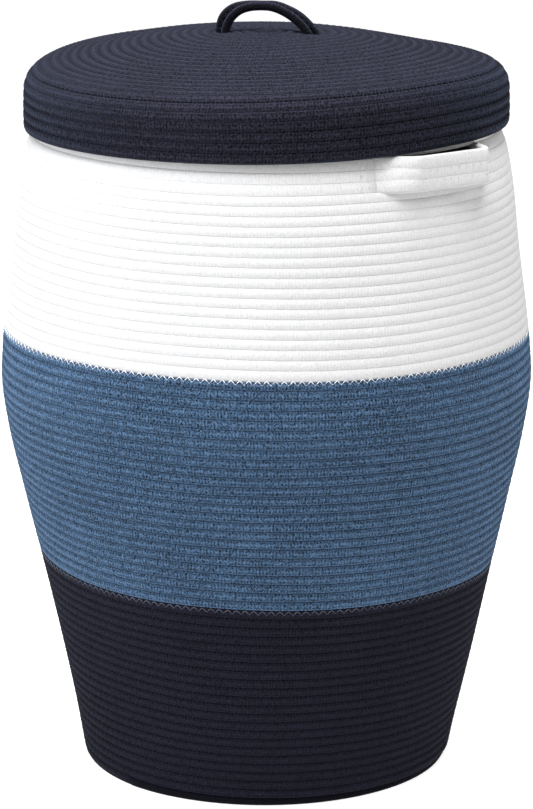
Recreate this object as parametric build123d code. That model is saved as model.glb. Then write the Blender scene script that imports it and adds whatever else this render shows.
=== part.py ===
from build123d import *
import os
from math import cos, sin, radians

# Laundry hamper with a lid, coiled from sewn cotton rope.
# Millimetres, +Z up. The origin is the centre of the underside, and the two carrying
# handles face +X and -X. Two bodies: the basket stands still, the lid lifts straight off.

# ------------------------------------------------------------------ driving dimensions
ROPE = 8.0                # rope diameter, and so the height of one sewn row
THREAD = 0.8              # thickness of a row of sewing thread lying on the rope
TOUCH = 0.1               # gap between sewn neighbours of one body
CLEARANCE = 0.8           # gap between the lid's skirt and the rim, on the radius

# outline of the outside of the wall, as (radius, height)
FOOT = (156.5, 0.0)       # where the wall stands on the floor
FLANK = (183.9, 142.0)    # middle of the slightly hollow lower flank
BELLY_LOW = (216.4, 283.0)
BELLY = (222.4, 333.0)    # widest place
BELLY_HIGH = (220.8, 361.0)
NECK = (201.4, 521.0)     # where the wall starts to draw in under the lid
RIM = (192.2, 547.0)      # foot of the upright rim that goes inside the lid
RIM_TOP = 588.4
FOOT_ROUND = 6.0          # rounding of the outer edge of the foot

# colour bands, counted in rows of rope
NAVY_TOP = 180.5          # 23 navy rows end here
BLUE_TOP = 377.0          # 25 blue rows end here
WINDOW_LOW = 520.3        # 18 white rows end here, and three looser rows start
WINDOW_HIGH = 546.3       # the three looser rows end here, and the rim starts

# carrying handles: the three looser rows bow out of the wall between two window ends
WINDOW_HALF_ANGLE = 18.5
BAND_ROWS = 3
BAND_BOW_X = 212.0        # rope centre of the bowed rows at their middle
BAND_SHOULDER = (210.5, 33.0)
BAND_KNEE = 3.2           # degrees inside the window end, where the rows leave the wall
TACK_ANGLES = (19.3, 20.8)
TACK_WIDTH = 0.5          # degrees

# lid
SKIRT_RADIUS = 201.0
SKIRT_LOW = 547.0
SKIRT_TOP = 582.0         # where the skirt starts to turn over into the top
TOP_EDGE = (186.0, 597.0)
CONE_TOP = (90.0, 616.2)
CROWN = 621.3
LID_TURN = 37.0           # the lid is round, and lies turned by this much from the handles

# loop handle on the lid: two strands side by side
STRAND = 7.4
FOOT_SPREAD = 38.0        # from the lid's centre to each foot of the loop
LOOP_RISE = 21.0          # rope centre of the loop's top, above the lid at its feet
TAIL_LENGTH = 28.0        # length that is sewn flat under the lid, towards its centre

FULL_TURN = 360


# ------------------------------------------------------------------ helpers
def keep(node, solid):
    """Write one sub-part to its own STEP file."""
    export_step(solid, os.path.join("parts", node + ".step"))


def wall_line(inset):
    """Outline of the wall from foot to rim, moved inwards by inset."""
    def at(point):
        return (point[0] - inset, 0, point[1])
    return [
        ThreePointArc(at(FOOT), at(FLANK), at(BELLY_LOW)),
        ThreePointArc(at(BELLY_LOW), at(BELLY), at(BELLY_HIGH)),
        Polyline(at(BELLY_HIGH), at(NECK), at(RIM), at((RIM[0], RIM_TOP))),
    ]


def ring_between(outer_line, inner_line):
    """Solid of revolution between two outlines that run the same way."""
    ends = [
        Line(outer_line[0] @ 0, inner_line[0] @ 0),
        Line(outer_line[-1] @ 1, inner_line[-1] @ 1),
    ]
    return revolve(make_face(outer_line + inner_line + ends), Axis.Z, FULL_TURN)


def level(low, high):
    """A slab between two heights, wider than the hamper."""
    width = 3 * SKIRT_RADIUS
    return Pos(0, 0, (low + high) / 2) * Box(width, width, high - low)


def sector(middle, half_angle):
    """A tall wedge from the axis outwards, centred on an azimuth in degrees."""
    reach = 2 * SKIRT_RADIUS
    corners = [(0, 0)]
    for angle in (middle - half_angle, middle + half_angle):
        corners.append((reach * cos(radians(angle)), reach * sin(radians(angle))))
    return extrude(make_face(Polyline(*corners, close=True)), 2 * CROWN)


# ------------------------------------------------------------------ basket wall and base
wall = ring_between(wall_line(0), wall_line(ROPE))
foot_edge = wall.edges().group_by(Axis.Z)[0].sort_by(SortBy.RADIUS)[-1]
wall = fillet(foot_edge, FOOT_ROUND)

base_radius = FOOT[0] - ROPE - TOUCH
base = Pos(0, 0, ROPE / 2) * Cylinder(base_radius, ROPE)
keep("base_coil", base)

keep("navy_wall_coil", wall & level(0, NAVY_TOP))
keep("blue_wall_coil", wall & level(NAVY_TOP, BLUE_TOP))
keep("white_wall_coil", wall & level(BLUE_TOP, WINDOW_LOW))
keep("rim_coil", wall & level(WINDOW_HIGH, RIM_TOP))

handle_level = wall & level(WINDOW_LOW, WINDOW_HIGH)
for azimuth in (0, 180):
    handle_level -= sector(azimuth, WINDOW_HALF_ANGLE)
front_rows, back_rows = handle_level.solids().sort_by(Axis.Y)
keep("front_handle_level_rows", front_rows)
keep("back_handle_level_rows", back_rows)


# ------------------------------------------------------------------ carrying handles
def bowed_band():
    """Three rope rows that leave the wall at one window end and join it at the other."""
    row_height = (WINDOW_HIGH - WINDOW_LOW) / BAND_ROWS
    middle = (WINDOW_LOW + WINDOW_HIGH) / 2
    wall_centre = (NECK[0] + RIM[0]) / 2 - ROPE / 2
    ends, knees, shoulders = [], [], []
    for side in (-1, 1):
        end_angle = radians(side * (WINDOW_HALF_ANGLE - 0.05))
        knee_angle = radians(side * (WINDOW_HALF_ANGLE - BAND_KNEE))
        ends.append((wall_centre * cos(end_angle), wall_centre * sin(end_angle), middle))
        knees.append((wall_centre * cos(knee_angle), wall_centre * sin(knee_angle), middle))
        shoulders.append((BAND_SHOULDER[0], side * BAND_SHOULDER[1], middle))
    route = FilletPolyline(
        ends[0], knees[0], shoulders[0], (BAND_BOW_X, 0, middle), shoulders[1], knees[1], ends[1],
        radius=[16, 24, 300, 24, 16],
    )
    section_plane = Plane(origin=route @ 0, x_dir=(0, 0, 1), z_dir=route % 0)
    rows = Rectangle((BAND_ROWS - 1) * row_height, ROPE * 0.7)
    for row in range(BAND_ROWS):
        offset = (row - (BAND_ROWS - 1) / 2) * row_height
        rows += Pos(offset, 0) * Circle(row_height / 2)
    return sweep(section_plane * rows, route)


band = bowed_band()
keep("right_handle_band", band)
keep("left_handle_band", Rot(0, 0, 180) * band)


# ------------------------------------------------------------------ sewing on the basket
thread_skin = ring_between(wall_line(-THREAD), wall_line(0))
seams = {
    "navy_to_blue_seam_thread": NAVY_TOP,
    "blue_to_white_seam_thread": BLUE_TOP,
}
for node, height in seams.items():
    keep(node, thread_skin & level(height - ROPE / 2, height + ROPE / 2))

base_seam = Cylinder(base_radius, THREAD) - Cylinder(base_radius - ROPE, THREAD)
keep("base_seam_thread", Pos(0, 0, ROPE + THREAD / 2) * base_seam)

for node, azimuth in (("right_handle_tacks", 0), ("left_handle_tacks", 180)):
    tacks = Compound(
        children=[
            (thread_skin & level(WINDOW_LOW, WINDOW_HIGH) & sector(azimuth + side * angle, TACK_WIDTH)).solid()
            for side in (-1, 1)
            for angle in TACK_ANGLES
        ]
    )
    keep(node, tacks)


# ------------------------------------------------------------------ lid
def lid_top():
    """Shallow cone with a rounded crown, one rope thick."""
    def line(drop):
        crown = (0, 0, CROWN - drop)
        cone = (CONE_TOP[0], 0, CONE_TOP[1] - drop)
        edge = (TOP_EDGE[0], 0, TOP_EDGE[1] - drop)
        return [TangentArc(crown, cone, tangent=(1, 0, 0)), Line(cone, edge)]
    return ring_between(line(0), line(ROPE))


def lid_skirt():
    """Upright skirt that turns over at the top to meet the cone."""
    inner_radius = RIM[0] + CLEARANCE
    start = TOP_EDGE[0] + TOUCH
    outer = [
        Line((SKIRT_RADIUS, 0, SKIRT_LOW), (SKIRT_RADIUS, 0, SKIRT_TOP)),
        TangentArc((SKIRT_RADIUS, 0, SKIRT_TOP), (start, 0, TOP_EDGE[1]), tangent=(0, 0, 1)),
    ]
    under = Polyline(
        (start, 0, TOP_EDGE[1]), (start, 0, TOP_EDGE[1] - ROPE), (inner_radius, 0, TOP_EDGE[1] - ROPE),
        (inner_radius, 0, SKIRT_LOW), (SKIRT_RADIUS, 0, SKIRT_LOW),
    )
    return revolve(make_face(outer + [under]), Axis.Z, FULL_TURN)


def crown_height(radius):
    """Height of the lid's upper surface at a radius inside the cone's top."""
    return CROWN - (CROWN - CONE_TOP[1]) * (radius / CONE_TOP[0]) ** 2


# Both strands follow one route: flat under the lid, up through it, over, and down again.
foot_height = crown_height(FOOT_SPREAD)
under_foot = foot_height - ROPE - STRAND / 2 - 0.4
tail_end = FOOT_SPREAD - TAIL_LENGTH
under_tail = crown_height(tail_end) - ROPE - STRAND / 2 - 0.4


def strand_route(side_step):
    """Route of one strand, side_step away from the loop's middle plane."""
    def at(along, height):
        return (along, side_step, height)
    return FilletPolyline(
        at(-tail_end, under_tail), at(-FOOT_SPREAD, under_foot), at(-FOOT_SPREAD + 1, foot_height + LOOP_RISE),
        at(18, foot_height + LOOP_RISE), at(FOOT_SPREAD, foot_height + 4.5), at(FOOT_SPREAD, under_foot),
        at(tail_end, under_tail),
        radius=[4, 20, 46, 8, 4],
    )


def strand(side_step):
    route = strand_route(side_step)
    return sweep(Plane(origin=route @ 0, z_dir=route % 0) * Circle(STRAND / 2), route)


turn = Rot(0, 0, LID_TURN)
strand_step = (STRAND + TOUCH) / 2
top = lid_top()
for side in (-1, 1):
    for foot in (-1, 1):
        hole = Cylinder(STRAND / 2 + 4 * TOUCH, 6 * ROPE)
        top -= turn * Pos(foot * FOOT_SPREAD, side * strand_step, foot_height) * hole
keep("lid_top_coil", top)
keep("lid_skirt_coil", lid_skirt())
keep("lid_handle_front_strand", turn * strand(-strand_step))
keep("lid_handle_back_strand", turn * strand(strand_step))

# the thread that joins the two strands lies in the groove along the loop's top
loop_height = foot_height + LOOP_RISE + STRAND / 2
joining_thread = Pos(-7.5, 0, loop_height - THREAD) * Box(19, 1.2, THREAD)
keep("lid_handle_stitching", turn * joining_thread)

# bars of thread that hold the flattened tails against the underside of the lid
bars = []
for foot in (-1, 1):
    for share in (0.45, 0.85):
        along = foot * (FOOT_SPREAD - share * TAIL_LENGTH)
        height = under_foot - STRAND / 2 - THREAD
        bars.append(turn * Pos(along, 0, height) * Box(2, 2 * STRAND, THREAD))
keep("lid_handle_tail_tacks", Compound(children=bars))

edge_thread = Cylinder(TOP_EDGE[0] + ROPE / 2, THREAD) - Cylinder(TOP_EDGE[0] - ROPE / 4, THREAD)
keep("lid_edge_seam_thread", Pos(0, 0, TOP_EDGE[1] + 1.5 * THREAD) * edge_thread)
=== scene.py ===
import math

import bpy
import numpy as np
from bpy.props import FloatProperty, FloatVectorProperty, IntProperty, PointerProperty
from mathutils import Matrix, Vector


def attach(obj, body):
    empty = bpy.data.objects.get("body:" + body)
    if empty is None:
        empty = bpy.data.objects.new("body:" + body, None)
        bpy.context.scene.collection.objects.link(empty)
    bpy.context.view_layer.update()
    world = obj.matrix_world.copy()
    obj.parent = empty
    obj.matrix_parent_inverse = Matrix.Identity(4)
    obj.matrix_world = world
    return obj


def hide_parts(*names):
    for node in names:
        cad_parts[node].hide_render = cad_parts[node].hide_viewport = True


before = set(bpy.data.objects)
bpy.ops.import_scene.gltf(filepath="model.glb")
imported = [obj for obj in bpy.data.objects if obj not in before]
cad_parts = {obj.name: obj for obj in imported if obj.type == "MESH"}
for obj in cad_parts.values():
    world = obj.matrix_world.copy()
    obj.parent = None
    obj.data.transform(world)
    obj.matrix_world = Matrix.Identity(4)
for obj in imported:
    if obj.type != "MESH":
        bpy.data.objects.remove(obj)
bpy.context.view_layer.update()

bl_info = {
    "name": "Rope hamper sewing",
    "version": (1, 0, 0),
    "blender": (4, 5, 0),
    "location": "3D View > Sidebar > Hamper",
    "description": "Coils, bends and sews the rope of a lidded laundry hamper around its packed design",
    "category": "Add Mesh",
}

# Sizes here are in millimetres, as in the design; META turns them into scene metres.
META = 0.001

# ------------------------------------------------------------------ outlines and rows
# Outside of the basket wall, as (radius, height).
WALL_OUTLINE = (
    (156.5, 0), (163.5, 40), (171.2, 78), (187.8, 157), (205.8, 235), (217.2, 288), (222.4, 333),
    (220.8, 361), (211.4, 440), (202.4, 513), (199.5, 527), (193.2, 546), (192.2, 560), (192.2, 594),
)
# Outside of the lid, from its crown out over the edge and down the skirt.
LID_OUTLINE = (
    (0, 619.6), (28, 620.4), (50, 620.3), (66, 619.2), (82, 617.2), (98, 614.8), (129, 608.9), (160, 602.7),
    (176, 599.6), (184.5, 597.2), (192, 593.0), (197.6, 587), (200.4, 579.5), (201, 570), (201, 530),
)

# Rows of rope from the floor up, and the heights where they end.
ROW_COUNTS = (0, 23, 48, 66, 69, 74.2)
ROW_HEIGHTS = (0, 180.5, 377.0, 520.3, 546.3, 588.4)
NAVY_END, BLUE_END, WHITE_END, WINDOW_END, RIM_END = ROW_COUNTS[1:]
FIRST_TURN = 0.5                   # the wall's rope starts half a row up, on the floor
COIL_START = math.radians(90)      # where the colours change, at the back of the hamper

# Carrying handles: the rope passes a handle every half turn.
WINDOW_CENTRES = tuple(WHITE_END + 0.25 + 0.5 * k for k in range(6))
WINDOW_HALF_TURN = 18.5 / 360
# A handle's rows leave the wall steeply at one end and gently at the other, the lowest row first.
BOW_STEEP = (-16.5 / 360, -9.5 / 360)
BOW_GENTLE = 18.3 / 360
BOW_GENTLE_PEAKS = (8.5 / 360, 8.0 / 360, 7.5 / 360)
BOW_CHORDS = (206.2, 206.6, 207.0) # distances of the three bowed rows' centres from the axis
BOW_LEAN = 120.0                   # and how much they grow towards the steep end, per turn

# How sewing flattens each rope: its half width as a share of a row, and its squareness (2 is round).
FLATTENED = {
    "navy_cotton": (0.59, 2.7),
    "blue_cotton": (0.60, 2.7),
    "white_cotton": (0.68, 4.0),
    "lid_cotton": (0.575, 2.7),
}

# Flat base: rows of rope from the middle to the wall, and the radius of the last one.
BASE_ROWS = 18.55
BASE_RADIUS = 152

# Tack bars beyond each end of a handle, in degrees from its middle, and their sewing.
TACK_DEGREES = (20.4, 22.2)
TACK_ROW = 8.67                    # height of one of the three rows that a bar crosses
TACK_PITCH = 1.5
TACK_REACH = 0.5
TACK_RADIUS = 195
TACK_THREAD = 0.4                  # half the thickness of the bar's thread

# The hamper leans a little towards this side, and is this wide where it leans.
LEAN_TOWARDS = math.radians(46)
LEAN_RADIUS = 190

# Lid rows
LID_FIRST_TURN = 0.42
LID_ROWS = 29.3
LID_TOP_ROWS = 23.3
LID_COIL_END = math.radians(136)   # where the skirt's rope ends, at the back
LID_SKIRT_LOW = 544.3

# Loop handle on the lid: the routes of its two strands as (along, height), from tail to tail.
LOOP_FRONT = (
    (-9, 605.6), (-24, 605.2), (-30.5, 606.2), (-34.0, 611.5), (-34.0, 618.5), (-33.0, 623), (-30.6, 628.6),
    (-27.0, 633.4), (-21.5, 637.6), (-13, 640.4), (-4, 641.2), (5, 640.6), (14.5, 637.2), (22.2, 632.6),
    (28.1, 627.8), (32.6, 622.8), (35.8, 617.6), (37.0, 611.5), (33.0, 606.2), (26, 605.2), (9, 605.6),
)
LOOP_BACK = (
    (-11, 605.6), (-30, 605.2), (-36.5, 606.2), (-40.0, 611.5), (-39.9, 617.9), (-39.2, 623), (-37.4, 629.5),
    (-33.6, 634.6), (-27.5, 638.6), (-17, 640.9), (-4, 641.2), (8, 640.9), (18.0, 637.4), (26.0, 633.2),
    (31.6, 628.7), (36.3, 623.9), (40.2, 618.9), (42.3, 612.0), (38.0, 606.2), (31, 605.2), (11, 605.6),
)
LOOP_STRAND = 7.4
FEET = (-37.0, 39.5)               # middles of the two pairs of feet, along the loop


# ------------------------------------------------------------------ what a user may change
class RopeSettings(bpy.types.PropertyGroup):
    """Sizes of the rope and of the sewing, in millimetres"""

    rope: FloatProperty(name="Rope", description="Diameter of the cotton rope", default=8.0)
    step: FloatProperty(name="Step", description="Length of one mesh segment along the rope", default=9.5)
    sides: IntProperty(name="Sides", description="Mesh sides around the rope", default=12)
    thread: FloatProperty(name="Thread", description="Diameter of the sewing thread", default=1.2)
    stitch: FloatProperty(name="Stitch", description="Length of one zigzag along the rope", default=7.0)
    reach: FloatProperty(name="Reach", description="Reach of a zigzag each side of the groove", default=3.3)
    bite: FloatProperty(name="Bite", description="How far a stitch sinks into the rope", default=0.25)
    softness: FloatProperty(
        name="Softness", description="How far the rope work strays from true", default=1.0, subtype="FACTOR"
    )


class LidSettings(bpy.types.PropertyGroup):
    """How the loose lid lies on the basket"""

    turn: FloatProperty(
        name="Turn", description="Turn of the lid's loop from the carrying handles",
        default=math.radians(37), subtype="ANGLE",
    )
    tilt: FloatProperty(
        name="Tilt", description="How far one side of the lid sits up", default=0.005, subtype="ANGLE"
    )
    tilt_towards: FloatProperty(
        name="Tilt towards", description="Side of the lid that sits up",
        default=math.radians(46), subtype="ANGLE",
    )


class ColourSettings(bpy.types.PropertyGroup):
    """Colours of the rope and thread"""

    navy: FloatVectorProperty(
        name="Navy rope", description="Foot of the wall", subtype="COLOR", size=3,
        default=(0.0092, 0.0092, 0.0170),
    )
    lid_navy: FloatVectorProperty(
        name="Lid rope", description="Lid and its loop", subtype="COLOR", size=3,
        default=(0.0104, 0.0104, 0.0178),
    )
    blue: FloatVectorProperty(
        name="Blue rope", description="Belly of the wall", subtype="COLOR", size=3,
        default=(0.041, 0.077, 0.134),
    )
    white: FloatVectorProperty(
        name="White rope", description="Top of the wall", subtype="COLOR", size=3,
        default=(0.54, 0.54, 0.545),
    )
    grey_thread: FloatVectorProperty(
        name="Grey thread", description="Seam from navy to blue", subtype="COLOR", size=3,
        default=(0.10, 0.115, 0.15),
    )
    white_thread: FloatVectorProperty(
        name="White thread", description="Seam from blue to white", subtype="COLOR", size=3,
        default=(0.84, 0.85, 0.88),
    )


class StudioSettings(bpy.types.PropertyGroup):
    """Camera and lights"""

    azimuth: FloatProperty(
        name="Azimuth", description="Camera's turn from the front, towards the right handle",
        default=math.radians(46), subtype="ANGLE",
    )
    distance: FloatProperty(
        name="Distance", description="Camera to the hamper's axis", default=2.788, unit="LENGTH"
    )
    height: FloatProperty(name="Height", description="Camera above the floor", default=1.003, unit="LENGTH")
    pitch: FloatProperty(
        name="Pitch", description="How far the camera looks down", default=0.24615, subtype="ANGLE"
    )
    lens: FloatProperty(name="Lens", description="Focal length in millimetres", default=150.9)
    key: FloatProperty(name="Key", description="Soft light from the front left, in watts", default=36.0)
    top: FloatProperty(name="Top", description="Soft light from above, in watts", default=190.0)
    fill: FloatProperty(name="Fill", description="Soft light from the right, in watts", default=9.0)
    sky: FloatProperty(name="Sky", description="Even light from all round", default=0.22)


SETTINGS = {
    "hamper_rope": RopeSettings,
    "hamper_lid": LidSettings,
    "hamper_colours": ColourSettings,
    "hamper_studio": StudioSettings,
}


# ------------------------------------------------------------------ curves
class Outline:
    """A smooth curve through a few (radius, height) points, measured along its length."""

    def __init__(self, points, outside):
        """outside is 1 when the outer face is on the curve's right as it runs, -1 on its left."""
        sample = curve_through(np.array(points, float))
        steps = np.hypot(*np.diff(sample, axis=0).T)
        self.length_at = np.concatenate([[0], np.cumsum(steps)])
        self.radius, self.height = sample.T
        run = np.gradient(sample, self.length_at, axis=0)
        run /= np.linalg.norm(run, axis=1)[:, None]
        self.run = run
        self.out = outside * np.column_stack([run[:, 1], -run[:, 0]])

    @property
    def length(self):
        return self.length_at[-1]

    def length_to_height(self, height):
        return np.interp(height, self.height, self.length_at)

    def at(self, length, out=0.0):
        """Radius and height at a length along the outline, moved outwards by out."""
        radius, height = (np.interp(length, self.length_at, a) for a in (self.radius, self.height))
        out_radius, out_height = (np.interp(length, self.length_at, a) for a in self.out.T)
        return radius + out * out_radius, height + out * out_height


def curve_through(points, per_span=20):
    """Samples of a smooth curve that passes through all the points."""
    gaps = np.linalg.norm(np.diff(points, axis=0), axis=1)
    place = np.concatenate([[0], np.cumsum(gaps)])
    slopes = np.diff(points, axis=0) / gaps[:, None]
    weights = gaps[:, None]
    inner = (slopes[1:] * weights[:-1] + slopes[:-1] * weights[1:]) / (weights[1:] + weights[:-1])
    tangents = np.vstack([slopes[:1], inner, slopes[-1:]])
    samples = [points[:1]]
    share = np.linspace(0, 1, per_span + 1)[1:, None]
    for k, gap in enumerate(gaps):
        rise = share * share * (3 - 2 * share)
        start = share * (1 - share) ** 2 * gap
        end = share * share * (share - 1) * gap
        samples.append(
            points[k] * (1 - rise) + points[k + 1] * rise + tangents[k] * start + tangents[k + 1] * end
        )
    return np.vstack(samples)


def ease(share):
    """0 to 1 with a smooth start and end."""
    share = np.clip(share, 0, 1)
    return share * share * (3 - 2 * share)


def unit(vectors):
    return vectors / np.maximum(np.linalg.norm(vectors, axis=-1, keepdims=True), 1e-12)


def along(points):
    """Length along a run of points."""
    return np.concatenate([[0], np.cumsum(np.linalg.norm(np.diff(points, axis=0), axis=1))])


WALL = Outline(WALL_OUTLINE, 1)
LID = Outline(LID_OUTLINE, -1)
ROW_LENGTHS = [float(WALL.length_to_height(height)) for height in ROW_HEIGHTS]
LID_PITCH = float(np.interp(LID_SKIRT_LOW, LID.height[::-1], LID.length_at[::-1]) / LID_ROWS)


# ------------------------------------------------------------------ where a turn of rope lies
# A coil is counted in turns. Each function takes turns, a shift across the rope (up the wall,
# or outwards on the lid and base) and a distance outwards from the rope's centre.
def bow_out(turns, radius, out, windows):
    """Radius after the rows that pass a handle have bowed out of the wall."""
    for k, centre in enumerate(windows):
        away, row = turns - centre, k // 2
        share = ease((away - BOW_STEEP[0]) / (BOW_STEEP[1] - BOW_STEEP[0]))
        share = share * ease((away - BOW_GENTLE) / (BOW_GENTLE_PEAKS[row] - BOW_GENTLE))
        away = np.clip(away, -0.1, 0.1)
        chord = (BOW_CHORDS[row] - BOW_LEAN * away) / np.cos(2 * np.pi * away) + out
        radius = radius + share * (chord - radius)
    return radius


def stray(angle, height):
    """Small wander of hand-guided rope work: outwards and upwards, in millimetres."""
    free = ease(height / 60) * (1 - 0.75 * ease((height - 480) / 60))
    outwards = 0.9 * np.sin(2 * angle + 0.6) + 0.6 * np.sin(3 * angle - height / 95) \
        + 0.45 * np.sin(7 * angle + height / 40)
    upwards = 0.45 * np.sin(3 * angle + height / 70) + 0.3 * np.sin(5 * angle - height / 33)
    lean = -0.014 * ease(height / 120) * (1 - ease((height - 200) / 150))
    sideways = LEAN_RADIUS * np.cos(angle - LEAN_TOWARDS)
    return free * outwards, free * upwards + lean * sideways


def wall_lengths(turns):
    return np.interp(turns, ROW_COUNTS, ROW_LENGTHS)


def wall_point(turns, across=0.0, out=0.0, windows=WINDOW_CENTRES, groove=False):
    """A point of the wall, beside the rope or beside the groove above it."""
    half = bpy.context.scene.hamper_rope.rope / 2
    rows = (turns, turns + 1) if groove else (turns,)
    length = sum(wall_lengths(row) for row in rows) / len(rows)
    radius, height = WALL.at(length + across, out - half)
    radius = sum(bow_out(row, radius, out, windows) for row in rows) / len(rows)
    angle = COIL_START - 2 * np.pi * turns
    outwards, upwards = stray(angle, height)
    soft = bpy.context.scene.hamper_rope.softness
    radius = radius + soft * outwards
    height = height + soft * upwards
    return META * np.column_stack([radius * np.cos(angle), radius * np.sin(angle), height])


def base_point(turns, across=0.0, out=0.0, groove=False):
    """A point of the flat base coil, whose last turn ends where the wall's rope starts."""
    rope = bpy.context.scene.hamper_rope.rope
    last = WALL.at(wall_lengths(FIRST_TURN), -rope / 2)[0]
    length = last + rope * (turns - FIRST_TURN) + across + (rope / 2 if groove else 0)
    angle = COIL_START - 2 * np.pi * turns
    height = rope / 2 - out + 0 * length
    return META * np.column_stack([length * np.cos(angle), length * np.sin(angle), height])


def lid_point(turns, across=0.0, out=0.0, groove=False):
    """A point of the lid, counted in turns from its crown."""
    rope = bpy.context.scene.hamper_rope.rope
    middle = turns + (0.5 if groove else 0)
    past_edge = middle - LID_TOP_ROWS
    parted = 0.55 * np.tanh(past_edge / 0.2) * np.exp(-(past_edge / 2.5) ** 2)
    length = LID_PITCH * middle + across + parted
    radius, height = LID.at(length, out - rope / 2)
    angle = LID_COIL_END + 2 * np.pi * (LID_ROWS - turns)
    return META * lid_shape(radius * np.cos(angle), radius * np.sin(angle), height)


def lid_shape(x, y, z):
    """The soft lid's tilt, its uneven fold, and the crown that the sewn-in loop pulls out of shape."""
    lid = bpy.context.scene.hamper_lid
    soft = bpy.context.scene.hamper_rope.softness
    radius, angle = np.hypot(x, y), np.arctan2(y, x)
    upside = radius * np.cos(angle - lid.tilt_towards)
    at_top = ease((z - 548) / 40)
    fold = 2.6 * at_top * ease(radius / 190) * -np.sin(2 * (angle - lid.tilt_towards))
    over_handles = 1.7 * np.exp(-(np.sin(angle) / 0.36) ** 2) * ease((radius - 150) / 45) * (1 - 0.6 * at_top)
    ripple = 0.35 * np.sin(3 * angle + radius / 30) * ease(radius / 60)
    along_loop = x * math.cos(lid.turn) + y * math.sin(lid.turn)
    beside_loop = -x * math.sin(lid.turn) + y * math.cos(lid.turn)
    between = 1.9 * np.exp(-((along_loop - 1) / 27) ** 4 - ((beside_loop + 1) / 9) ** 2)
    behind = 1.4 * np.exp(-(along_loop / 36) ** 2 - ((beside_loop - 15) / 8) ** 2)
    at_feet = sum(
        depth * np.exp(-((along_loop - foot) / 11) ** 2 - (beside_loop / 13) ** 2)
        for foot, depth in zip(FEET, (2.6, 3.8))
    )
    z = z + lid.tilt * upside + soft * (fold + over_handles + ripple + between - behind - at_feet)
    return np.column_stack([x, y, z])


def loop_point(route, side):
    """Points of the lid's loop: route holds (along, height), side is the step to one strand."""
    lid = bpy.context.scene.hamper_lid
    run, height = route.T
    x = run * math.cos(lid.turn) - side * math.sin(lid.turn)
    y = run * math.sin(lid.turn) + side * math.cos(lid.turn)
    return META * np.column_stack([x, y, height + 0 * x])


def turns_between(start, end, radius_at):
    """Turn counts from start to end, with mesh rings a little closer where the coil is tight."""
    step = bpy.context.scene.hamper_rope.step
    turns = [start]
    while turns[-1] < end:
        radius = max(float(radius_at(turns[-1])), 1.0)
        turns.append(turns[-1] + min(step / (2 * np.pi * radius), 1 / 18))
    turns = np.array(turns)
    return start + (turns - start) * (end - start) / (turns[-1] - start)


def wall_radius(turns):
    return WALL.at(wall_lengths(turns))[0]


def base_radius(turns):
    return BASE_RADIUS + bpy.context.scene.hamper_rope.rope * (turns - FIRST_TURN)


def lid_radius(turns):
    return LID.at(LID_PITCH * turns)[0]


# ------------------------------------------------------------------ meshes
class Work:
    """Vertices, faces and pattern coordinates of one piece, gathered run by run."""

    def __init__(self):
        self.points, self.quads, self.quad_uvs, self.caps = [], [], [], []
        self.count = 0

    def tube(self, centres, across, out, half_width, half_depth, sides, squareness=2.0):
        """A tube along centres. U is the length in millimetres, V goes once around."""
        turn = 2 * np.pi * (np.arange(sides) + 0.5) / sides
        power = 2 / squareness
        wide = np.sign(np.cos(turn)) * np.abs(np.cos(turn)) ** power
        deep = np.sign(np.sin(turn)) * np.abs(np.sin(turn)) ** power
        half_width = np.broadcast_to(half_width, len(centres))[:, None, None] * META
        half_depth = np.broadcast_to(half_depth, len(centres))[:, None, None] * META
        rings = (
            centres[:, None, :]
            + half_width * wide[None, :, None] * across[:, None, :]
            + half_depth * deep[None, :, None] * out[:, None, :]
        )
        ring = np.arange(len(centres) - 1)[:, None] * sides
        side = np.arange(sides)[None, :]
        following = (side + 1) % sides
        quads = np.stack([ring + side, ring + following, ring + sides + following, ring + sides + side], -1)
        run = along(centres) / META
        u = np.stack([np.broadcast_to(a[:, None], (len(run) - 1, sides)) for a in
                      (run[:-1], run[:-1], run[1:], run[1:])], -1)
        v = np.stack([np.broadcast_to(a[None, :], (len(run) - 1, sides)) for a in
                      (side[0], side[0] + 1, side[0] + 1, side[0])], -1) / sides
        first = self.count + np.arange(sides)
        last = first + (len(centres) - 1) * sides
        facing = np.cross(across[0], out[0]) @ (centres[1] - centres[0])
        order = slice(None, None, -1) if facing < 0 else slice(None)
        self.points.append(rings.reshape(-1, 3))
        self.quads.append((quads.reshape(-1, 4) + self.count)[:, order])
        self.quad_uvs.append(np.stack([u, v], -1).reshape(-1, 4, 2)[:, order])
        self.caps.extend([first[::-1], last] if facing >= 0 else [first, last[::-1]])
        self.count += rings.shape[0] * sides

    def piece(self, name, material):
        """Makes the Blender object, with its place in its mesh."""
        points = np.vstack(self.points)
        quads, uvs = np.vstack(self.quads), np.vstack(self.quad_uvs)
        caps = self.caps
        corners = np.concatenate([quads.ravel()] + list(caps)).astype(np.int32)
        sizes = np.array([4] * len(quads) + [len(cap) for cap in caps], dtype=np.int32)
        starts = np.concatenate([[0], np.cumsum(sizes)[:-1]]).astype(np.int32)
        mesh = bpy.data.meshes.new(name)
        mesh.vertices.add(len(points))
        mesh.vertices.foreach_set("co", points.ravel())
        mesh.loops.add(len(corners))
        mesh.loops.foreach_set("vertex_index", corners)
        mesh.polygons.add(len(sizes))
        mesh.polygons.foreach_set("loop_start", starts)
        mesh.polygons.foreach_set("use_smooth", np.arange(len(sizes)) < len(quads))
        pattern = mesh.uv_layers.new(name="rope")
        cap_corners = len(corners) - quads.size
        pattern.data.foreach_set("uv", np.vstack([uvs.reshape(-1, 2), np.zeros((cap_corners, 2))]).ravel())
        mesh.update(calc_edges=True)
        mesh.materials.append(material)
        piece = bpy.data.objects.new(name, mesh)
        bpy.context.collection.objects.link(piece)
        return piece


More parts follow.
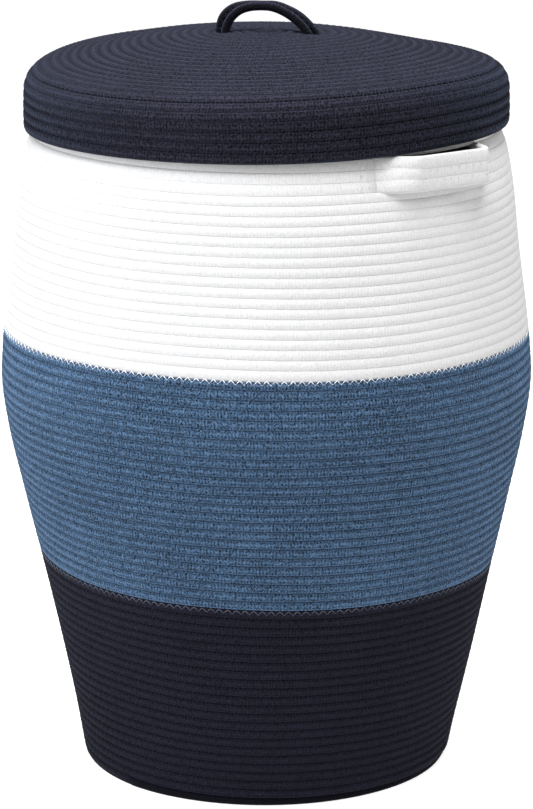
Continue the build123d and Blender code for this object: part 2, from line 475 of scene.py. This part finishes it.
def add_rope(work, turns, place, cotton, pitch, taper=(0, 0)):
    """Sweeps rope along a run of turns; place gives its points, taper thins its two ends."""
    rope = bpy.context.scene.hamper_rope
    half_width, squareness = FLATTENED[cotton]
    nudge = 0.5
    centres = place(turns)
    across = unit(place(turns, across=nudge) - place(turns, across=-nudge))
    out = unit(place(turns, out=nudge) - place(turns, out=-nudge))
    run = along(centres) / META
    thickness = np.ones(len(turns))
    for length, distance in zip(taper, (run, run[-1] - run)):
        if length:
            thickness *= 0.25 + 0.75 * ease(distance / length)
    work.tube(
        centres, across, out, half_width * pitch * thickness, 0.5 * rope.rope * thickness, rope.sides,
        squareness,
    )


def add_zigzag(
    work, start, end, place, radius_at, face=1, fine=True, reach=None, shift=0.0, depth=1.0, thread=None,
    sink=0.0,
):
    """Sews the groove above a run of turns; face is 1 on the outside and -1 on the inside."""
    rope = bpy.context.scene.hamper_rope
    reach = rope.reach if reach is None else reach
    thread = rope.thread if thread is None else thread
    half_stitch, turns = rope.stitch / 2, [start]
    while turns[-1] < end:
        radius = max(float(radius_at(turns[-1])), 4.0)
        turns.append(turns[-1] + half_stitch / (2 * np.pi * radius))
    turns = np.array(turns[:-1] if len(turns) > 3 else turns)
    legs = len(turns) - 1
    if fine:
        turns = np.interp(np.arange(2 * legs + 1) / 2, np.arange(legs + 1), turns)
        swing = np.array([-1, 0, 1, 0])[np.arange(len(turns)) % 4]
    else:
        swing = np.array([-1, 1])[np.arange(len(turns)) % 2]
    surface = rope.rope / 2 - rope.bite - sink
    sunk = np.where(swing == 0, 0.55 * depth, 0.0)
    wobble = 1 + 0.08 * np.sin(np.arange(len(turns)) * 1.7) * np.sin(np.arange(len(turns)) * 0.23)
    across = swing * reach * wobble + shift
    height = face * (surface - sunk)
    centres = place(turns, across=across, out=height, groove=True)
    outwards = unit(place(turns, across=across, out=height + face * 0.5, groove=True) - centres)
    ahead = unit(np.gradient(centres, axis=0))
    sideways = unit(np.cross(outwards, ahead))
    work.tube(centres, sideways, outwards, thread / 2, thread / 2, 3)


# ------------------------------------------------------------------ materials
class Value:
    """A shader socket that can be written in sums: numbers and sockets mix freely."""

    def __init__(self, tree, socket):
        self.tree, self.socket = tree, socket

    def math(self, operation, *others):
        return self.tree.make("ShaderNodeMath", {"operation": operation}, (self,) + others)

    def __add__(self, other):
        return self.math("ADD", other)

    __radd__ = __add__

    def __mul__(self, other):
        return self.math("MULTIPLY", other)

    __rmul__ = __mul__

    def __sub__(self, other):
        return self.math("SUBTRACT", other)

    def __rsub__(self, other):
        return self * -1 + other

    def sine(self):
        return self.math("SINE")

    def cosine(self):
        return self.math("COSINE")

    def absolute(self):
        return self.math("ABSOLUTE")

    def clamped(self):
        return self.tree.make("ShaderNodeClamp", {}, (self,))


class Tree:
    """A new material's node tree and the one way its nodes are made."""

    def __init__(self, name):
        self.material = bpy.data.materials.new(name)
        self.material.use_nodes = True
        self.nodes = self.material.node_tree.nodes
        self.links = self.material.node_tree.links
        self.shader = self.nodes["Principled BSDF"]

    def make(self, kind, settings, inputs=(), output=0):
        """Makes a node, sets its settings, fills its inputs and returns one output."""
        node = self.nodes.new(kind)
        for setting, value in settings.items():
            setattr(node, setting, value)
        named = inputs.items() if isinstance(inputs, dict) else enumerate(inputs)
        for key, value in named:
            self.feed(node.inputs[key], value)
        return Value(self, node.outputs[output])

    def feed(self, socket, value):
        if isinstance(value, Value):
            self.links.new(value.socket, socket)
        else:
            socket.default_value = value

    def mix(self, share, first, second):
        """Colour between first and second."""
        return self.make(
            "ShaderNodeMix", {"data_type": "RGBA", "clamp_factor": True},
            {0: share, 6: first, 7: second}, output=2,
        )

    def noise(self, scale, detail, coordinates):
        return self.make(
            "ShaderNodeTexNoise", {"noise_dimensions": "3D"},
            {"Vector": coordinates, "Scale": scale, "Detail": detail, "Roughness": 0.6}, output="Fac",
        )


def shade(colour, factor):
    """A colour made darker or lighter, as the four numbers that a socket takes."""
    return tuple(min(1.0, part * factor) for part in colour) + (1.0,)


def rope_material(name, colour, contrast, sheen, gloss, crevice_shade, relief, meeting):
    """Braided cotton jacket: crossing yarns, mottled dye and a little lint, with painted shade darkening its
    crevices where it meets the next row.
    """
    tree = Tree(name)
    pattern = tree.make("ShaderNodeUVMap", {"uv_map": "rope"})
    run = tree.make("ShaderNodeSeparateXYZ", {}, (pattern,))
    round_ = Value(tree, run.socket.node.outputs[1])
    place = tree.make("ShaderNodeTexCoord", {}, output="Object")

    girth, yarn = 25.0, 0.8
    rising = (run + round_ * girth) * (0.7 / yarn)
    sinking = (run - round_ * girth) * (0.7 / yarn)
    strokes = [
        tree.make(
            "ShaderNodeTexNoise", {"noise_dimensions": "2D"},
            {"Vector": tree.make("ShaderNodeCombineXYZ", {}, {"X": narrow, "Y": wide * 0.3}),
             "Scale": 1.0, "Detail": 1.0, "Roughness": 0.5}, output="Fac",
        )
        for narrow, wide in ((rising, sinking), (sinking, rising))
    ]
    braid = strokes[0].math("MAXIMUM", strokes[1])

    lint = tree.noise(850, 1.0, place)
    mottle = tree.noise(60, 3.0, place)
    patch = tree.noise(9, 2.0, place)
    diamonds = (run * (2 * math.pi / 2.6)).cosine() + (round_ * (20 * math.pi)).cosine()
    weave = (braid - 0.56) * 3.0 + diamonds * 0.22
    tone = weave + (lint - 0.5) * 2.6 + (mottle - 0.5) * 0.4 + (patch - 0.5) * 0.5 + 0.5
    body = tree.mix(tone.clamped(), shade(colour, 1 - contrast), shade(colour, 1 + contrast))
    # Painted shade: the rope's sides, where it meets the rows beside it, are darkened towards a fifth of its
    # colour in place of the shadow in the grooves.
    sideways = ((round_ + 0.5 / 12) * (2 * math.pi)).cosine().absolute()
    groove = ((sideways - (meeting - 0.12)) * 9).clamped() * crevice_shade
    body = tree.mix(groove, body, shade(colour, 0.2))

    tree.feed(tree.shader.inputs["Base Color"], body)
    tree.feed(tree.shader.inputs["Roughness"], (lint * 0.12 + 0.82).clamped())
    tree.shader.inputs["Specular IOR Level"].default_value = gloss
    tree.shader.inputs["Sheen Weight"].default_value = sheen
    tree.shader.inputs["Sheen Roughness"].default_value = 0.3
    tree.shader.inputs["Sheen Tint"].default_value = (0.37, 0.6, 1.0, 1.0)
    height = braid * 1.6 + diamonds * 0.12 + lint * 0.8
    bump = tree.make(
        "ShaderNodeBump", {}, {"Strength": relief, "Distance": 0.0008, "Height": height}, output="Normal"
    )
    tree.feed(tree.shader.inputs["Normal"], bump)
    return tree.material


def thread_material(name, colour, gloss):
    """Twisted sewing thread: fine slanted plies, a little worn."""
    tree = Tree(name)
    pattern = tree.make("ShaderNodeUVMap", {"uv_map": "rope"})
    run = tree.make("ShaderNodeSeparateXYZ", {}, (pattern,))
    round_ = Value(tree, run.socket.node.outputs[1])
    place = tree.make("ShaderNodeTexCoord", {}, output="Object")
    ply = ((run * 1.1 + round_ * 2) * (2 * math.pi)).sine() * 0.5 + 0.5
    wear = tree.noise(140, 2.0, place)
    body = tree.mix((ply * 0.4 + (wear - 0.5) * 2.4 + 0.3).clamped(), shade(colour, 0.6), shade(colour, 1.25))
    tree.feed(tree.shader.inputs["Base Color"], body)
    tree.feed(tree.shader.inputs["Roughness"], (wear * 0.2 + 0.6).clamped())
    tree.shader.inputs["Specular IOR Level"].default_value = gloss
    bump = tree.make(
        "ShaderNodeBump", {}, {"Strength": 0.4, "Distance": 0.0002, "Height": ply}, output="Normal"
    )
    tree.feed(tree.shader.inputs["Normal"], bump)
    return tree.material


def finish(name):
    """The named rope or thread, made the first time it is asked for."""
    if name in bpy.data.materials:
        return bpy.data.materials[name]
    colours = bpy.context.scene.hamper_colours
    # colour, contrast, sheen, gloss, painted crevice shade and relief
    ropes = {
        "navy_cotton": (colours.navy, 0.6, 0.02, 0.06, 0.8, 0.7),
        "lid_cotton": (colours.lid_navy, 0.95, 0.085, 0.07, 0.87, 0.9),
        "blue_cotton": (colours.blue, 0.85, 0.42, 0.1, 0.9, 0.8),
        "white_cotton": (colours.white, 0.06, 0.0, 0.1, 0.15, 0.35),
    }
    # colour and gloss
    threads = {
        "navy_sewing": ([1.1 * c for c in colours.navy], 0.1),
        "blue_sewing": ([1.12 * c for c in colours.blue], 0.15),
        "grey_sewing": (colours.grey_thread, 0.3),
        "white_sewing": (colours.white_thread, 0.3),
        "white_rope_sewing": ([1.1 * c for c in colours.white], 0.1),
    }
    if name in ropes:
        half_width, squareness = FLATTENED[name]
        # meeting is where the rope's side meets the next row, the edge of the painted crevice shade.
        meeting = (0.5 / half_width) ** (squareness / 2)
        return rope_material(name, *ropes[name], meeting)
    return thread_material(name, *threads[name])


def settle(piece, body, slot, *nodes):
    """Lets a piece ride on its body and stand for the design's plain solids."""
    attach(piece, body)
    if nodes:
        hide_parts(*nodes)


# ------------------------------------------------------------------ operators
class CoilBase(bpy.types.Operator):
    """Coils the navy rope of the flat base and sews it"""

    bl_idname = "hamper.coil_base"
    bl_label = "Coil the base"

    def execute(self, context):
        rope = context.scene.hamper_rope
        innermost = FIRST_TURN - BASE_ROWS
        work = Work()
        turns = turns_between(innermost, FIRST_TURN, base_radius)
        add_rope(work, turns, base_point, "navy_cotton", rope.rope, taper=(10, 0))
        settle(work.piece("base_rope", finish("navy_cotton")), "basket", "navy_rope", "base_coil")

        work = Work()
        for face in (1, -1):
            add_zigzag(
                work, innermost + 0.6, FIRST_TURN - 1, base_point, base_radius, face=face, fine=False,
                depth=0.6,
            )
        settle(work.piece("base_stitching", finish("navy_sewing")), "basket", "navy_thread")

        work = Work()
        # half a turn only, as the wall's rope then covers the groove
        add_zigzag(work, FIRST_TURN - 1, FIRST_TURN - 0.5, base_point, base_radius, face=-1)
        seam = work.piece("base_seam_stitching", finish("navy_sewing"))
        settle(seam, "basket", "navy_thread", "base_seam_thread")
        return {"FINISHED"}


class CoilWall(bpy.types.Operator):
    """Coils the navy, blue and white ropes of the wall up to the carrying handles"""

    bl_idname = "hamper.coil_wall"
    bl_label = "Coil the wall"

    def execute(self, context):
        bands = (
            ("navy_wall_rope", "navy_cotton", "navy_rope", "navy_wall_coil", FIRST_TURN, NAVY_END),
            ("blue_wall_rope", "blue_cotton", "blue_rope", "blue_wall_coil", NAVY_END, BLUE_END),
            ("white_wall_rope", "white_cotton", "white_rope", "white_wall_coil", BLUE_END, WHITE_END),
        )
        for name, material, slot, node, start, end in bands:
            work = Work()
            turns = turns_between(start, end, wall_radius)
            add_rope(work, turns, wall_point, material, context.scene.hamper_rope.rope)
            settle(work.piece(name, finish(material)), "basket", slot, node)
        return {"FINISHED"}


class CoilHandleLevel(bpy.types.Operator):
    """Coils the three rows at handle level: wall in front and behind, bowed handles at the sides"""

    bl_idname = "hamper.coil_handle_level"
    bl_label = "Coil the handle level"

    def execute(self, context):
        pitch = (ROW_LENGTHS[4] - ROW_LENGTHS[3]) / (WINDOW_END - WHITE_END)
        edge = WINDOW_HALF_TURN
        runs = {"front": [], "back": [], "right": [], "left": []}
        start = float(WHITE_END)
        for k, centre in enumerate(WINDOW_CENTRES):
            wall_side = "back" if k % 2 == 0 else "front"
            handle_side = "right" if k % 2 == 0 else "left"
            runs[wall_side].append((start, centre - edge))
            runs[handle_side].append((centre - edge, centre + edge))
            start = centre + edge
        runs["back"].append((start, float(WINDOW_END)))
        pieces = (
            ("front_handle_level_rope", "front_handle_level_rows", "front"),
            ("back_handle_level_rope", "back_handle_level_rows", "back"),
            ("right_handle_rope", "right_handle_band", "right"),
            ("left_handle_rope", "left_handle_band", "left"),
        )
        for name, node, side in pieces:
            work = Work()
            for low, high in runs[side]:
                bowed = side in ("right", "left")
                turns = np.linspace(low, high, 41) if bowed else turns_between(low, high, wall_radius)
                add_rope(work, turns, wall_point, "white_cotton", pitch)
            settle(work.piece(name, finish("white_cotton")), "basket", "white_rope", node)
        return {"FINISHED"}


class CoilRim(bpy.types.Operator):
    """Coils the rim that goes inside the lid and tapers the rope's end into it"""

    bl_idname = "hamper.coil_rim"
    bl_label = "Coil the rim"

    def execute(self, context):
        work = Work()
        turns = turns_between(WINDOW_END, RIM_END - 0.5, wall_radius)
        pitch = (ROW_LENGTHS[5] - ROW_LENGTHS[4]) / (RIM_END - WINDOW_END)
        add_rope(work, turns, wall_point, "white_cotton", pitch, taper=(0, 70))
        settle(work.piece("rim_rope", finish("white_cotton")), "basket", "white_rope", "rim_coil")
        return {"FINISHED"}


class SewWall(bpy.types.Operator):
    """Zigzags every groove of the wall, outside and inside, in the thread of its band"""

    bl_idname = "hamper.sew_wall"
    bl_label = "Sew the wall"

    def execute(self, context):
        edge = WINDOW_HALF_TURN
        below, above = WHITE_END - 0.75, WINDOW_END - 0.75
        skipped = (below, below + 0.5, above, above + 0.5)
        white_runs, start = [], BLUE_END
        for centre in skipped:
            white_runs.append((start, centre - edge))
            start = centre + edge
        white_runs.append((start, RIM_END - 1.5))
        bands = (
            ("navy_wall", "navy_sewing", "navy_thread", [(FIRST_TURN, NAVY_END - 1)], 1.2, 0.0),
            ("blue_wall", "blue_sewing", "blue_thread", [(NAVY_END, BLUE_END - 1)], 1.2, 0.0),
            ("white_wall", "white_rope_sewing", "white_thread", white_runs, 0.9, 0.2),
        )
        for name, material, slot, runs, thread, sink in bands:
            for face, label in ((1, "stitching"), (-1, "inner_stitching")):
                work = Work()
                for low, high in runs:
                    add_zigzag(
                        work, low, high, wall_point, wall_radius, face=face, fine=face == 1, thread=thread,
                        sink=sink,
                    )
                settle(work.piece(name + "_" + label, finish(material)), "basket", slot)
        seams = (
            ("navy_to_blue_seam", "grey_sewing", "blue_thread", "navy_to_blue_seam_thread", NAVY_END),
            ("blue_to_white_seam", "white_sewing", "white_thread", "blue_to_white_seam_thread", BLUE_END),
        )
        for name, material, slot, node, end in seams:
            work = Work()
            for face in (1, -1):
                add_zigzag(
                    work, end - 1, end, wall_point, wall_radius, face=face, reach=1.6, shift=-1.75, depth=0.3,
                    thread=0.75,
                )
            settle(work.piece(name, finish(material)), "basket", slot, node)
        return {"FINISHED"}


def handle_bar(turn):
    """Centres of one bar of thread across the three rows beside a handle, and its outward directions."""
    rise = np.arange(0, 3 * TACK_ROW, TACK_PITCH / 2)
    swing = np.where(np.arange(len(rise)) % 2 == 0, -1, 1) * TACK_REACH
    turns = turn + swing / (2 * np.pi * TACK_RADIUS)
    ripple = 0.55 * np.abs(np.cos(np.pi * rise / TACK_ROW))
    across = rise - 0.5 * TACK_ROW
    out = bpy.context.scene.hamper_rope.rope / 2 - 0.1 - 0.6 * ripple
    centres = wall_point(turns, across, out, windows=())
    return centres, unit(wall_point(turns, across, out + 0.5, windows=()) - centres)


class TackHandles(bpy.types.Operator):
    """Sews a double bar of thread at both ends of each carrying handle"""

    bl_idname = "hamper.tack_handles"
    bl_label = "Tack the handles"

    def execute(self, context):
        for middle, side_name in zip(WINDOW_CENTRES, ("right", "left")):
            work = Work()
            for side in (-1, 1):
                for degrees in TACK_DEGREES:
                    centres, outwards = handle_bar(middle + side * degrees / 360)
                    ahead = unit(np.gradient(centres, axis=0))
                    sideways = unit(np.cross(outwards, ahead))
                    work.tube(centres, sideways, outwards, TACK_THREAD, TACK_THREAD, 4)
            bars = work.piece(side_name + "_handle_bars", finish("white_rope_sewing"))
            settle(bars, "basket", "white_thread", side_name + "_handle_tacks")
        return {"FINISHED"}


class CoilLid(bpy.types.Operator):
    """Coils the lid's top from the crown outwards, turns it over and coils the skirt"""

    bl_idname = "hamper.coil_lid"
    bl_label = "Coil the lid"

    def execute(self, context):
        parts = (
            ("lid_top_rope", "lid_top_coil", LID_FIRST_TURN, LID_TOP_ROWS, (10, 0)),
            ("lid_skirt_rope", "lid_skirt_coil", LID_TOP_ROWS, LID_ROWS, (0, 80)),
        )
        for name, node, start, end, taper in parts:
            work, turns = Work(), turns_between(start, end, lid_radius)
            add_rope(work, turns, lid_point, "lid_cotton", LID_PITCH, taper=taper)
            settle(work.piece(name, finish("lid_cotton")), "lid", "lid_rope", node)
        return {"FINISHED"}


class SewLid(bpy.types.Operator):
    """Zigzags the grooves of the lid, above and below"""

    bl_idname = "hamper.sew_lid"
    bl_label = "Sew the lid"

    def execute(self, context):
        edge_start, edge_end = LID_TOP_ROWS - 1, LID_TOP_ROWS
        runs = (
            ("lid_top_stitching", [(1.0, edge_start)], None),
            ("lid_skirt_stitching", [(edge_end, LID_ROWS - 1)], None),
            ("lid_edge_seam", [(edge_start, edge_end)], "lid_edge_seam_thread"),
        )
        for name, spans, node in runs:
            work = Work()
            for low, high in spans:
                add_zigzag(work, low, high, lid_point, lid_radius, face=1)
                add_zigzag(work, low, high, lid_point, lid_radius, face=-1, fine=False)
            nodes = (node,) if node else ()
            settle(work.piece(name, finish("navy_sewing")), "lid", "navy_thread", *nodes)
        return {"FINISHED"}


class BendLoop(bpy.types.Operator):
    """Bends the two strands of the lid's loop and sews them together"""

    bl_idname = "hamper.bend_loop"
    bl_label = "Bend the lid's loop"

    def execute(self, context):
        lid = context.scene.hamper_lid
        beside = np.array([-math.sin(lid.turn), math.cos(lid.turn), 0.0])
        half = LOOP_STRAND / 2
        front, back = (curve_through(np.array(route, float), per_span=5) for route in (LOOP_FRONT, LOOP_BACK))
        names = (("lid_handle_front_rope", "lid_handle_front_strand", front, -1),
                 ("lid_handle_back_rope", "lid_handle_back_strand", back, 1))
        for name, node, route, side in names:
            centres = loop_point(route, side * 0.98 * half)
            ahead = unit(np.gradient(centres, axis=0))
            across = np.tile(beside, (len(centres), 1))
            across = unit(across - (across * ahead).sum(1)[:, None] * ahead)
            out = unit(np.cross(ahead, across))
            work = Work()
            work.tube(centres, across, out, half, half, 14, squareness=2.1)
            settle(work.piece(name, finish("lid_cotton")), "lid", "lid_rope", node)

        joining = self.joining(front, back, half, beside)
        settle(joining, "lid", "navy_thread", "lid_handle_stitching")
        work = Work()
        for distance in (-27, -24, -15, -12, 12, 15, 25, 28):
            self.whip(work, distance, half)
        whipping = work.piece("lid_handle_tail_whipping", finish("navy_sewing"))
        settle(whipping, "lid", "navy_thread", "lid_handle_tail_tacks")
        return {"FINISHED"}

    def joining(self, front, back, half, beside):
        """Zigzags from one strand to the other along the loop, on its outer and inner side."""
        seen = [route[route[:, 1] > 619.5] for route in (front, back)]
        count = 64
        runs = []
        for route in seen:
            lengths = along(route)
            marks = np.linspace(0, lengths[-1], count)
            runs.append(np.column_stack([np.interp(marks, lengths, route[:, k]) for k in (0, 1)]))
        swing = np.array([-1, 0, 1, 0])[np.arange(count) % 4]
        share = (0.5 + 0.36 * swing)[:, None]
        run = runs[0] * (1 - share) + runs[1] * share
        ahead = unit(np.gradient((runs[0] + runs[1]) / 2, axis=0))
        outside = np.column_stack([-ahead[:, 1], ahead[:, 0]])
        work = Work()
        for face in (1, -1):
            centres, tips = (
                loop_point(run + face * outside * (half - 0.25 - 0.9 * (swing == 0) + lift)[:, None], 0.0)
                + META * (swing * 0.72 * half)[:, None] * beside
                for lift in (0.0, 0.5)
            )
            outwards = unit(tips - centres)
            sideways = unit(np.cross(outwards, unit(np.gradient(centres, axis=0))))
            work.tube(centres, sideways, outwards, 0.4, 0.4, 4)
        return work.piece("lid_handle_joining_stitching", finish("navy_sewing"))

    def whip(self, work, run, half):
        """One round of thread around both strands of a tail."""
        turn = np.linspace(0, 2 * np.pi, 25)
        side = np.sign(np.cos(turn)) * np.abs(np.cos(turn)) ** 0.5 * 2 * half * 1.03
        up = np.sin(turn) * half * 1.06
        centres = np.vstack([loop_point(np.array([[run, 605.3 + u]]), s) for s, u in zip(side, up)])
        outwards = unit(centres - loop_point(np.array([[run, 605.3]]), 0.0))
        sideways = unit(np.cross(outwards, unit(np.gradient(centres, axis=0))))
        work.tube(centres, sideways, outwards, 0.45, 0.45, 4)


class SetStage(bpy.types.Operator):
    """Lays the pale floor and sets the camera and the soft lights"""

    bl_idname = "hamper.set_stage"
    bl_label = "Set the stage"

    def execute(self, context):
        studio = context.scene.hamper_studio
        scene = context.scene
        scene.view_settings.view_transform = "Standard"
        bpy.ops.object.select_all(action="DESELECT")
        bpy.ops.mesh.primitive_plane_add(size=40)
        floor = context.object
        floor.name = "studio_floor"
        tree = Tree("studio_paper")
        place = tree.make("ShaderNodeTexCoord", {}, output="Object")
        grain = tree.noise(40, 2.0, place)
        paper = tree.mix(grain, (0.44, 0.44, 0.44, 1), (0.46, 0.46, 0.46, 1))
        tree.feed(tree.shader.inputs["Base Color"], paper)
        tree.shader.inputs["Roughness"].default_value = 0.9
        tree.shader.inputs["Specular IOR Level"].default_value = 0.1
        tree.shader.inputs["Emission Color"].default_value = (1, 1, 1, 1)
        tree.shader.inputs["Emission Strength"].default_value = 0.84
        floor.data.materials.append(tree.material)

        world = bpy.data.worlds.new("studio_light")
        world.use_nodes = True
        world.node_tree.nodes["Background"].inputs["Color"].default_value = (1, 1, 1, 1)
        world.node_tree.nodes["Background"].inputs["Strength"].default_value = studio.sky
        scene.world = world

        towards = Vector((math.sin(studio.azimuth), -math.cos(studio.azimuth), 0))
        right = Vector((math.cos(studio.azimuth), math.sin(studio.azimuth), 0))
        middle = Vector((0, 0, 0.33))
        # name, watts, size, place as (right, towards the camera, up) and tint
        lamps = (
            ("key_light", studio.key, 1.6, (-2.1, 0.9, 1.5), (0.95, 0.97, 1.0)),
            ("top_light", studio.top, 2.2, (-0.2, 0.3, 2.6), (1.0, 1.0, 1.0)),
            ("fill_light", studio.fill, 1.8, (2.2, 0.5, 1.2), (1.0, 0.93, 0.87)),
        )
        for name, watts, size, (aside, ahead, up), tint in lamps:
            offset = aside * right + ahead * towards + Vector((0, 0, up))
            bpy.ops.object.light_add(type="AREA", location=offset)
            lamp = context.object
            lamp.name = name
            lamp.data.size = size
            lamp.data.energy = watts
            lamp.data.color = tint
            lamp.rotation_euler = (middle - offset).to_track_quat("-Z", "Y").to_euler()

        bpy.ops.object.camera_add(location=studio.distance * towards + Vector((0, 0, studio.height)))
        camera = context.object
        camera.name = "studio_camera"
        look = -math.cos(studio.pitch) * towards - Vector((0, 0, math.sin(studio.pitch)))
        camera.rotation_euler = look.to_track_quat("-Z", "Y").to_euler()
        camera.data.sensor_width = 36
        camera.data.lens = studio.lens
        scene.camera = camera
        return {"FINISHED"}


OPERATORS = (
    SetStage, CoilBase, CoilWall, CoilHandleLevel, CoilRim, SewWall, TackHandles, CoilLid, SewLid, BendLoop,
)


class HamperPanel(bpy.types.Panel):
    """Lists the steps of making the hamper"""

    bl_idname = "VIEW3D_PT_hamper"
    bl_label = "Rope hamper"
    bl_space_type = "VIEW_3D"
    bl_region_type = "UI"
    bl_category = "Hamper"

    def draw(self, context):
        for operator in OPERATORS:
            self.layout.operator(operator.bl_idname)
        for name, group in SETTINGS.items():
            box = self.layout.box()
            for key in group.__annotations__:
                box.prop(getattr(context.scene, name), key)


def register():
    for group in SETTINGS.values():
        bpy.utils.register_class(group)
    for name, group in SETTINGS.items():
        setattr(bpy.types.Scene, name, PointerProperty(type=group))
    for operator in OPERATORS:
        bpy.utils.register_class(operator)
    bpy.utils.register_class(HamperPanel)


def unregister():
    bpy.utils.unregister_class(HamperPanel)
    for operator in reversed(OPERATORS):
        bpy.utils.unregister_class(operator)
    for name in SETTINGS:
        delattr(bpy.types.Scene, name)
    for group in SETTINGS.values():
        bpy.utils.unregister_class(group)


def main():
    register()
    for operator in OPERATORS:
        group, step = operator.bl_idname.split(".")
        getattr(getattr(bpy.ops, group), step)()


if __name__ == "__main__":
    main()
